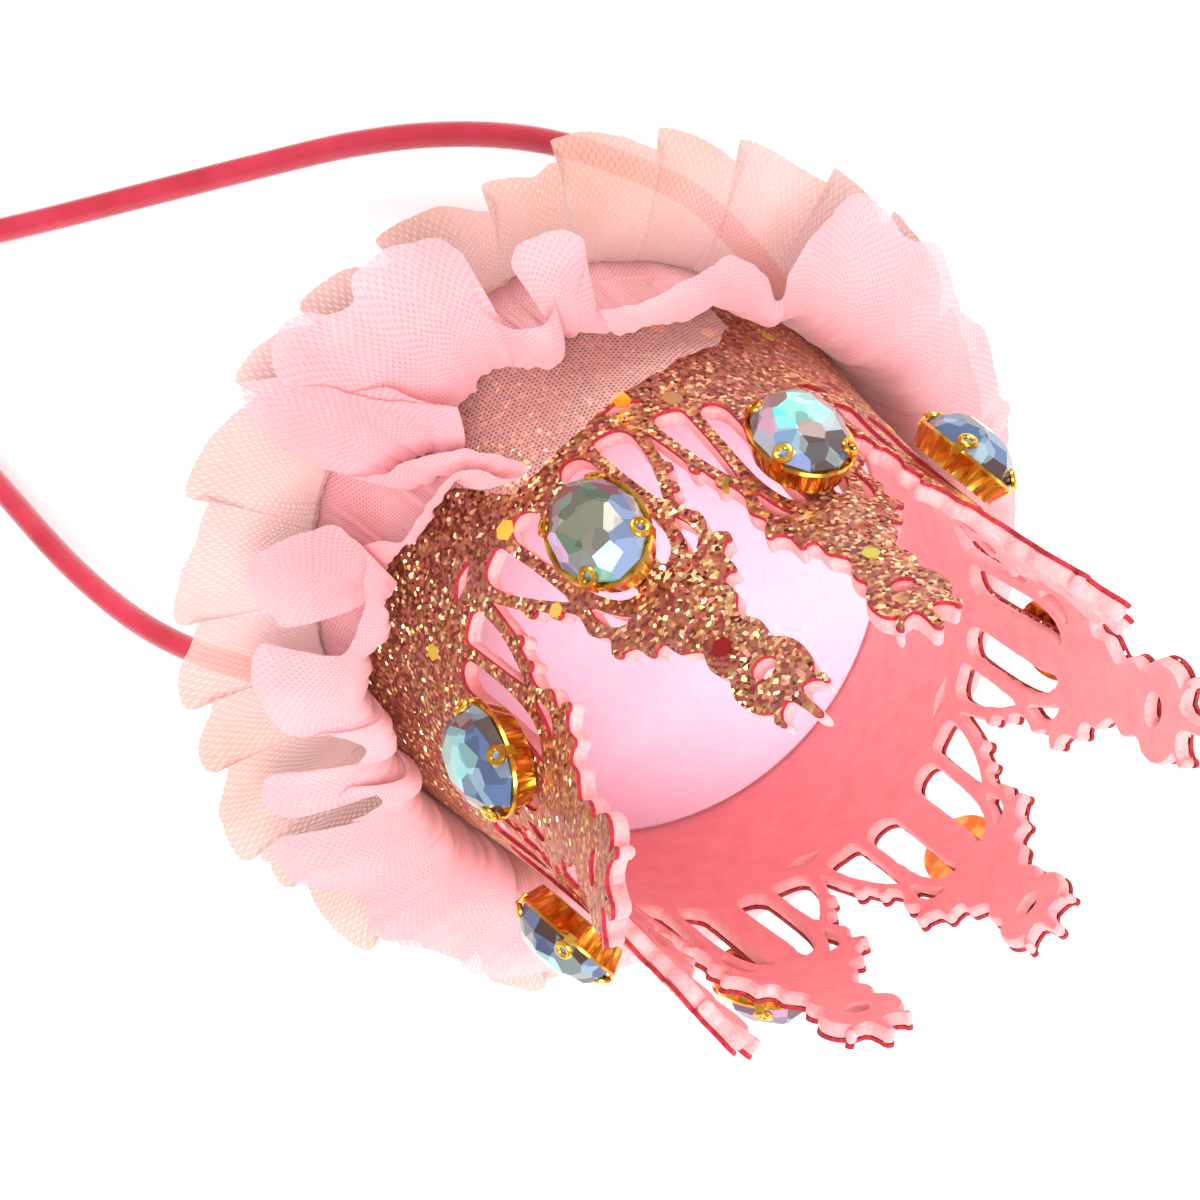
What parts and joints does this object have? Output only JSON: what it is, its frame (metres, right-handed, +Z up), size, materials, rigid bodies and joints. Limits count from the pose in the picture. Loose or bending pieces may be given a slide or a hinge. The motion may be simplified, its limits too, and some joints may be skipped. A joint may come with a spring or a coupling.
{
  "type": "crown headband",
  "caption": "Small pierced glitter and felt crown with an oval stone on each point, gathered tulle round its foot, on a narrow satin-wrapped headband; lies on its side.",
  "frame": {"origin": "on the floor, under the middle of the object's box", "axes": "+Z up from the surface it lies on, +Y from the crown's tips towards the headband's ends, +X towards the crown's third point, across the headband"},
  "size_m": [0.1046, 0.2066, 0.0946],
  "materials": {
    "glitter": "copper and gold glitter bonded to a thin cloth backing",
    "felt": "matt salmon-pink felt",
    "floor_felt": "matt pale pink felt",
    "stone": "faceted, foil-backed, with an iridescent coating",
    "setting": "polished gold plating",
    "sheer_tulle": "sheer beige-pink net",
    "pink_tulle": "sheer pink net",
    "satin": "soft sheen of wrapped red satin ribbon"
  },
  "bodies": {
    "root": {"crown_glitter": "glitter", "crown_felt": "felt", "crown_floor": "floor_felt", "stone_1": "stone", "stone_2": "stone", "stone_3": "stone", "stone_4": "stone", "stone_5": "stone", "stone_6": "stone", "stone_7": "stone", "stone_8": "stone", "setting_1": "setting", "setting_2": "setting", "setting_3": "setting", "setting_4": "setting", "setting_5": "setting", "setting_6": "setting", "setting_7": "setting", "setting_8": "setting", "tulle_outer_tier": "sheer_tulle", "tulle_inner_tier": "pink_tulle", "tulle_drape": "sheer_tulle", "headband": "satin"}
  },
  "joints": []
}
